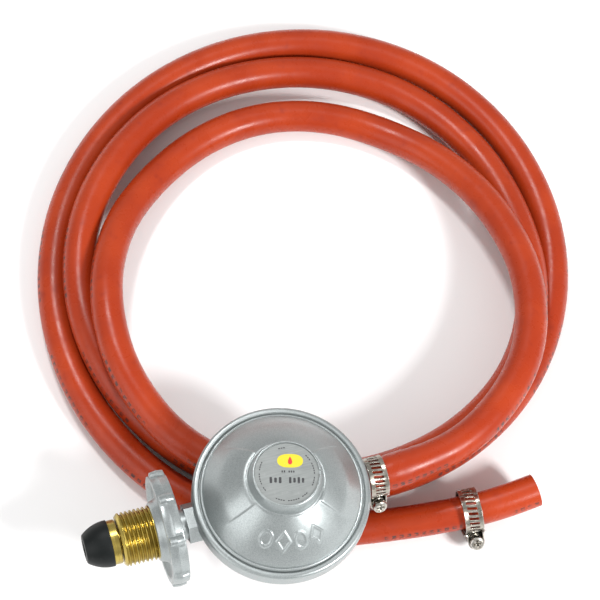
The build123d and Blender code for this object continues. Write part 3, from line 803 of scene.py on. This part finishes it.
def make_handwheel(material):
    """Cast handwheel: tapered hub, dished web, and a drafted rim with ribs and a parting line."""
    hub = [(THREAD_LENGTH, SLEEVE_TAIL_R), (THREAD_LENGTH, 11.9), (14.8, 12.2), (15.1, 12.5), (16.6, 13.1),
           (18.0, 13.8), (18.6, 14.4), (18.95, 15.2), (19.1, 16.2)]
    web = [(19.15, 17.0), (19.15, 18.8), (19.0, 19.5), (18.5, 20.1), (17.7, 20.5), (17.3, 20.8), (17.2, 21.1)]
    # half of the rim: distance from the parting line, drop below the full radius, share of the rib's height
    half_rim = [(3.6, 1.0, 0.0), (3.58, 0.7, 0.0), (3.48, 0.5, 0.0), (3.28, 0.42, 0.0), (3.1, 0.4, 0.0),
                (3.07, 0.4, 0.6), (2.9, 0.38, 0.88), (2.6, 0.35, 1.0)]
    rim = [(WHEEL_MIDDLE_X - away, drop, share) for away, drop, share in half_rim]
    rim += [(WHEEL_MIDDLE_X + away, drop, 1.0) for away, drop in ((-0.12, 0.03), (-0.04, -0.08), (0.1, 0.0))]
    rim += [(WHEEL_MIDDLE_X + away, drop, share) for away, drop, share in reversed(half_rim)]
    back = [(24.4, 21.1), (24.2, 20.6), (23.7, 20.2), (22.8, 19.6), (22.45, 18.8), (22.4, 17.0), (22.4, 13.6),
            (22.6, 13.1), (23.2, 12.9), (24.1, 12.7), (24.35, 12.4), (24.4, 12.0), (24.4, 7.3), (24.1, 7.0),
            (22.42, 7.0), (22.42, SLEEVE_TAIL_R)]
    segments = WHEEL_LOBES * 72
    verts = []
    for x, radius in hub + web:
        verts += [on_inlet(x, radius, tau * k / segments) for k in range(segments)]
    for x, drop, share in rim:
        for k in range(segments):
            angle = tau * k / segments
            radius = RIM_R - drop + share * lobe_rise(angle)
            wobble = 0.1 * sin(7 * angle) * sin(19 * angle + 1) if abs(x - WHEEL_MIDDLE_X) < 0.2 else 0.0
            verts.append(on_inlet(x + wobble, radius, angle))
    for x, radius in back:
        verts += [on_inlet(x, radius, tau * k / segments) for k in range(segments)]
    rows = len(verts) // segments
    wheel = build_mesh("cast_handwheel", verts, grid_faces(rows, segments, True, True), [material], 50)
    finish_piece(wheel, "handwheel", "silver_casting", "handwheel")


def make_thread(material):
    """Brass sleeve with its left-hand thread, chamfered at the front and run out at the back."""
    step = THREAD_PITCH / 12
    count = int(THREAD_LENGTH / step)
    rows = [(0.0, SLEEVE_BORE_R, False), (0.0, 9.9, False)]
    rows += [(0.05 + (THREAD_LENGTH - 0.1) * i / count, THREAD_R, True) for i in range(count + 1)]
    rows += [(THREAD_LENGTH, SLEEVE_TAIL_R, False), (SLEEVE_END_X, SLEEVE_TAIL_R, False),
             (SLEEVE_END_X, SLEEVE_BORE_R, False)]
    segments = 128
    verts = []
    for x, radius, threaded in rows:
        for k in range(segments):
            angle = tau * k / segments
            r = radius
            if threaded:
                wave = (x / THREAD_PITCH + k / segments) % 1.0
                valley = ease(1 - abs(2 * wave - 1), 0.06, 0.94)
                cut = THREAD_DEPTH * valley * (1 - ease(x, THREAD_LENGTH - 0.9, THREAD_LENGTH - 0.2))
                r = min(radius - cut * ease(x, 0.9, 1.9), 10.15 + x * 1.05)
            verts.append(on_inlet(x, r, angle))
    sleeve = build_mesh("threaded_sleeve", verts, grid_faces(len(rows), segments, True, True), [material], 60)
    finish_piece(sleeve, "handwheel", "brass", "thread_sleeve")


# ------------------------------------------------------------------ hose clamps
BAND_WIDTH = 8.0
BAND_THICK = 0.7
SLOT_PITCH = 13.85                   # degrees
SLOT_HALF = 2.15
SLOT_LEAN = 2.2                      # degrees from a slot's middle to its end
SHEET_THICK = 0.62
WORM_R = 2.9
WORM_OUT = 3.25                      # middle of the screw, outside the band
WORM_PITCH = 1.9
ARCH_R = 3.3
HEAD_R = 3.2
HEAD_LENGTH = 2.9
HALF_LENGTH = 4.5
OUTLET_BAND_R = 7.97
LOOSE_BAND_R = 9.1


class ClampFrame:
    """Axes of a clamp: x towards its screw housing, y along the screw and z along the hose."""

    def __init__(self, centre, heading, climb, housing_angle):
        h, c, turn = radians(heading), radians(climb), radians(housing_angle)
        level = Vector((sin(h), -cos(h), 0))
        down = Vector((cos(h) * sin(c), sin(h) * sin(c), -cos(c)))
        self.centre = Vector(centre)
        self.z = Vector((cos(h) * cos(c), sin(h) * cos(c), sin(c)))
        self.x = level * cos(turn) + down * sin(turn)
        self.y = self.z.cross(self.x)

    def at(self, x, y, z):
        return self.centre + self.x * x + self.y * y + self.z * z


def thicken(piece, edge):
    """Turn a surface into sheet metal with eased edges."""
    shell = piece.modifiers.new("thickness", "SOLIDIFY")
    shell.thickness = SHEET_THICK * MM
    shell.offset = 0.0
    bevel = piece.modifiers.new("edges", "BEVEL")
    bevel.width = edge * MM
    bevel.segments = 2
    bevel.limit_method = "ANGLE"


def band_strip(name, place, radius, low, high, blank, material):
    """Slotted strip from one angle to another, with its slots left out near the housing."""
    columns = max(8, round((high - low) / SLOT_PITCH) * 6)
    half_rows = [0.7, SLOT_HALF, BAND_WIDTH / 2 - 0.25, BAND_WIDTH / 2]
    rows = [-z for z in reversed(half_rows)] + half_rows
    verts = []
    for k in range(columns + 1):
        for z in rows:
            turn = low + (high - low) * k / columns
            slanted = radians(turn + SLOT_LEAN * max(-1.0, min(1.0, z / SLOT_HALF)))
            lifted = radius + (0.12 if abs(z) == BAND_WIDTH / 2 else 0.0)
            verts.append(place.at(lifted * cos(slanted), lifted * sin(slanted), z))
    faces = []
    for k in range(columns):
        turn = (low + (high - low) * (k + 0.5) / columns) % 360
        slotted = k % 6 in (1, 2, 3) and blank < turn < 360 - blank
        for i in range(len(rows) - 1):
            if slotted and 2 <= i <= 4:
                continue
            a = k * len(rows) + i
            faces.append((a, a + 1, a + len(rows) + 1, a + len(rows)))
    strip = build_mesh(name, verts, faces, [material], 60)
    thicken(strip, 0.12)
    return strip


def make_housing(name, place, outer_r, material):
    """Pressed arch over the screw, flared out on to the band."""
    worm_x = outer_r + WORM_OUT
    # foot of the arch: place across the band, lift over it, and how far it follows the band's curve
    arch = [(-4.9, 0.62, 1.0), (-4.3, 0.45, 1.0), (-3.75, 0.5, 1.0), (-3.4, 1.0, 0.8), (-3.3, 1.9, 0.4)]
    section = [(z, outer_r + lift, hold) for z, lift, hold in arch]
    section += [(-ARCH_R * cos(a), worm_x + ARCH_R * sin(a), 0.0) for a in (pi * i / 16 for i in range(17))]
    section += [(-z, x, hold) for z, x, hold in reversed(section[:len(arch)])]
    stations = [HALF_LENGTH * (2 * i / 16 - 1) for i in range(17)]
    verts = []
    for y in stations:
        flare = 0.35 * ease(abs(y), HALF_LENGTH - 1.2, HALF_LENGTH)
        for z, x, hold in section:
            drop = (outer_r - sqrt(outer_r ** 2 - y ** 2)) * hold
            stretch = 1 + 0.09 * flare * (1 - hold)
            verts.append(place.at(x - drop + flare * (1 - hold), y, z * stretch))
    faces = grid_faces(len(stations), len(section), False, False)
    housing = build_mesh(name, verts, faces, [material], 60)
    thicken(housing, 0.14)
    return housing


def make_worm(name, place, outer_r, material):
    """Screw with a worm thread, a six-sided head and a cross recess.

    Each row has its place along the screw, its radius, and its kind: 0 is round, 1 has the six
    sides of the head, and 2 has the thread."""
    worm_x = outer_r + WORM_OUT
    segments = 72
    head_y = -HALF_LENGTH - HEAD_LENGTH
    rows = [(head_y + 0.1, 0.0, 0), (head_y, 1.9, 0), (head_y + 0.1, 2.6, 1), (head_y + 0.4, 3.0, 1),
            (head_y + 0.9, HEAD_R, 1), (head_y + 2.3, HEAD_R, 1), (head_y + 2.6, 3.0, 0),
            (head_y + 2.7, 2.4, 0)]
    count = 96
    first, last = head_y + 2.75, HALF_LENGTH + 0.6
    rows += [(first + (last - first) * i / count, WORM_R, 2) for i in range(count + 1)]
    rows += [(last + 0.1, 2.2, 0), (last + 0.1, 0.0, 0)]
    verts = []
    for y, radius, kind in rows:
        for k in range(segments):
            angle = tau * k / segments
            r = radius
            if kind == 1:
                off = (angle + pi / 6) % (pi / 3) - pi / 6
                r = min(radius, 2.92 / cos(off))
            if kind == 2:
                wave = (y / WORM_PITCH + k / segments) % 1.0
                r = radius - 0.55 * ease(abs(2 * wave - 1), 0.25, 0.75)
            verts.append(place.at(worm_x + r * cos(angle), y, r * sin(angle)))
    screw = build_mesh(name, verts, grid_faces(len(rows), segments, False, True), [material], 40)
    for turn in (0, 1):
        cut_verts = []
        for end, half in ((head_y - 0.5, 0.55), (head_y + 1.4, 0.3)):
            for u, v in ((-1, -1), (1, -1), (1, 1), (-1, 1)):
                long, wide = u * (2.1 if end < head_y else 1.2), v * half
                px, pz = (long, wide) if turn == 0 else (wide, long)
                cut_verts.append(place.at(worm_x + px, end, pz))
        cut_faces = [(0, 3, 2, 1), (4, 5, 6, 7), (0, 1, 5, 4), (1, 2, 6, 5), (2, 3, 7, 6), (3, 0, 4, 7)]
        cutter = build_mesh(f"{name}_cutter_{turn}", cut_verts, cut_faces, [material])
        recess = screw.modifiers.new(f"recess_{turn}", "BOOLEAN")
        recess.object = cutter
        recess.solver = "EXACT"
        bpy.context.view_layer.update()
        made = bpy.data.meshes.new_from_object(screw.evaluated_get(bpy.context.evaluated_depsgraph_get()))
        screw.modifiers.clear()
        screw.data = made
        bpy.data.objects.remove(cutter)
    return screw


def make_clamp(name, place, inner_r, band_body, screw_body, steel, screw_steel):
    """The three pieces of one worm-drive clamp."""
    outer_r = inner_r + BAND_THICK
    middle_r = inner_r + BAND_THICK / 2
    band = band_strip(f"{name}_slotted_band", place, middle_r, 0, 360, 38, steel)
    finish_piece(band, band_body, "clamp_steel", f"{name}_band")
    tail = band_strip(f"{name}_band_tail", place, middle_r + 0.72, 34, 34 + 4 * SLOT_PITCH, 20, steel)
    finish_piece(tail, band_body, "clamp_steel")
    housing = make_housing(f"{name}_arch", place, outer_r, steel)
    finish_piece(housing, band_body, "clamp_steel", f"{name}_housing")
    screw = make_worm(f"{name}_worm", place, outer_r, screw_steel)
    finish_piece(screw, screw_body, "clamp_steel", f"{name}_screw")
    return [band, tail, housing, screw]


# ------------------------------------------------------------------ put together
def dress(material, *names):
    """Give CAD nodes that stay in view their finish."""
    for name in names:
        data = nodes[name].data
        data.materials.clear()
        data.materials.append(material)


make_camera()
make_studio()

silver = silver_paint("silver_casting", True)
cover_silver = silver_paint("silver_cover", False)
brass = turned_brass()
steel = strip_steel()
dress(silver, "lower_body")
dress(brass, "inlet_nipple", "inlet_jet")
dress(sintered_bronze(), "inlet_filter")
dress(nitrile_rubber(), "nose_seal", "diaphragm", "valve_pad")
dress(zinc_plate(), "diaphragm_plate", "diaphragm_stem", "stem_nut", "lever", "lever_pin")
dress(spring_wire(), "main_spring")
dress(moulded_plastic(), "adjusting_screw", "valve_slider")
dress(red_fibre(), "seal_washer")

make_cover(cover_silver)
make_label(label_foil(), printed_ink("ink_black", (0.025, 0.025, 0.028), (0.3, 0.3, 0.3)),
           printed_ink("ink_yellow", (0.62, 0.52, 0.008), (0.45, 0.42, 0.18)),
           printed_ink("ink_red", (0.55, 0.015, 0.015), (0.6, 0.2, 0.1)))
make_handwheel(silver)
make_thread(brass)

OUTLET_CLAMP = ClampFrame((DISC_X + 42.3, 0, 0), 0, 0, 62)
LOOSE_CLAMP = ClampFrame((DISC_X + 83.8, -18.0, FLOOR_Z + 14.6), -3.5, 6.0, 40)
screw_steel = strip_steel("screw_steel")
make_clamp("outlet_clamp", OUTLET_CLAMP, OUTLET_BAND_R, "regulator", "outlet_screw", steel, screw_steel)
loose = make_clamp("loose_clamp", LOOSE_CLAMP, LOOSE_BAND_R, "loose_clamp", "loose_screw", steel, screw_steel)

hose, hose_line = make_hose(gas_hose())
